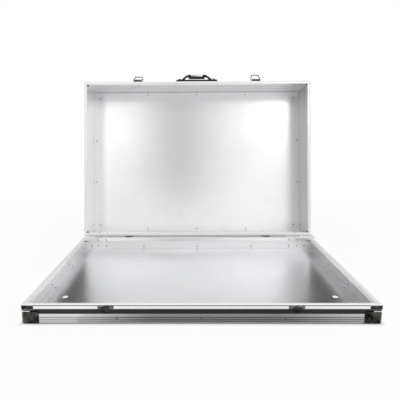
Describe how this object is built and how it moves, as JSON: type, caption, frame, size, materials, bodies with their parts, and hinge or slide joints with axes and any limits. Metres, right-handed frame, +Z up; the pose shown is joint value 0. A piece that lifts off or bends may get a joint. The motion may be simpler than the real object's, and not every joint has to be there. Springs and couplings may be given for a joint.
{
  "type": "model train storage case",
  "caption": "Shallow hinged sheet-metal storage case with ribbed edge profiles, draw latches and a swinging carry handle, stored standing open.",
  "frame": {"origin": "centre of the bounding box's underside: on the table under the open case", "axes": "+X along the hinge line to the case's right as seen from the front, +Y to the back, +Z up"},
  "size_m": [0.8044, 0.795, 0.6145],
  "materials": {
    "sheet_aluminium": "satin, brushed along the case",
    "extruded_aluminium": "satin extruded",
    "dark_chrome": "polished, dark",
    "bright_chrome": "polished",
    "hinge_steel": "satin zinc plated",
    "rivet_steel": "satin",
    "black_moulding": "satin black",
    "black_rubber": "matte black"
  },
  "bodies": {
    "base": {"base_panel": "sheet_aluminium", "base_wall_front": "sheet_aluminium", "base_rim_front": "extruded_aluminium", "base_edge_front": "extruded_aluminium", "base_wall_back": "sheet_aluminium", "base_rim_back": "extruded_aluminium", "base_edge_back": "extruded_aluminium", "base_wall_left": "sheet_aluminium", "base_rim_left": "extruded_aluminium", "base_edge_left": "extruded_aluminium", "base_wall_right": "sheet_aluminium", "base_rim_right": "extruded_aluminium", "base_edge_right": "extruded_aluminium", "base_corner_posts": "extruded_aluminium", "base_corners": "dark_chrome", "base_rim_corners": "dark_chrome", "base_rivets": "rivet_steel", "base_hinge_rivets": "rivet_steel", "hinge_left_base_leaf": "hinge_steel", "hinge_right_base_leaf": "hinge_steel", "hinge_left_pin": "hinge_steel", "hinge_right_pin": "hinge_steel", "strike_left": "bright_chrome", "strike_right": "bright_chrome", "strike_rivets": "rivet_steel"},
    "lid": {"lid_panel": "sheet_aluminium", "lid_wall_front": "sheet_aluminium", "lid_rim_front": "extruded_aluminium", "lid_edge_front": "extruded_aluminium", "lid_wall_back": "sheet_aluminium", "lid_rim_back": "extruded_aluminium", "lid_edge_back": "extruded_aluminium", "lid_wall_left": "sheet_aluminium", "lid_rim_left": "extruded_aluminium", "lid_edge_left": "extruded_aluminium", "lid_wall_right": "sheet_aluminium", "lid_rim_right": "extruded_aluminium", "lid_edge_right": "extruded_aluminium", "lid_corner_posts": "extruded_aluminium", "lid_corners": "dark_chrome", "lid_rim_corners": "dark_chrome", "lid_rivets": "rivet_steel", "lid_hinge_rivets": "rivet_steel", "hinge_left_lid_leaf": "hinge_steel", "hinge_right_lid_leaf": "hinge_steel", "latch_left_plate": "bright_chrome", "latch_right_plate": "bright_chrome", "latch_pins": "rivet_steel", "latch_rivets": "rivet_steel", "handle_base": "black_moulding", "handle_pins": "rivet_steel", "handle_rivets": "rivet_steel", "lid_feet": "black_rubber"},
    "latch_left_lever": {"latch_left_lever": "bright_chrome"},
    "latch_right_lever": {"latch_right_lever": "bright_chrome"},
    "latch_left_loop": {"latch_left_loop": "bright_chrome"},
    "latch_right_loop": {"latch_right_loop": "bright_chrome"},
    "handle": {"handle_grip": "black_moulding", "handle_strip": "bright_chrome"}
  },
  "joints": [
    {"name": "lid_hinge", "type": "hinge", "parent": "base", "child": "lid", "pos_m": [0, 0.15832, 0.0454], "axis": [-1, 0, 0], "range_deg": [-99.8, 0]},
    {"name": "latch_left_lever_turn", "type": "hinge", "parent": "lid", "child": "latch_left_lever", "pos_m": [-0.212, 0.27211, 0.5914], "axis": [1, 0, 0], "range_deg": [0, 150]},
    {"name": "latch_left_loop_turn", "type": "hinge", "parent": "latch_left_lever", "child": "latch_left_loop", "pos_m": [-0.212, 0.2809, 0.58826], "axis": [-1, 0, 0], "range_deg": [-139.5, 52]},
    {"name": "latch_right_lever_turn", "type": "hinge", "parent": "lid", "child": "latch_right_lever", "pos_m": [0.212, 0.27211, 0.5914], "axis": [1, 0, 0], "range_deg": [0, 150]},
    {"name": "latch_right_loop_turn", "type": "hinge", "parent": "latch_right_lever", "child": "latch_right_loop", "pos_m": [0.212, 0.2809, 0.58826], "axis": [-1, 0, 0], "range_deg": [-131.5, 60]},
    {"name": "handle_swing", "type": "hinge", "parent": "lid", "child": "handle", "pos_m": [0, 0.29756, 0.58599], "axis": [1, 0, 0], "range_deg": [-45, 45]}
  ]
}
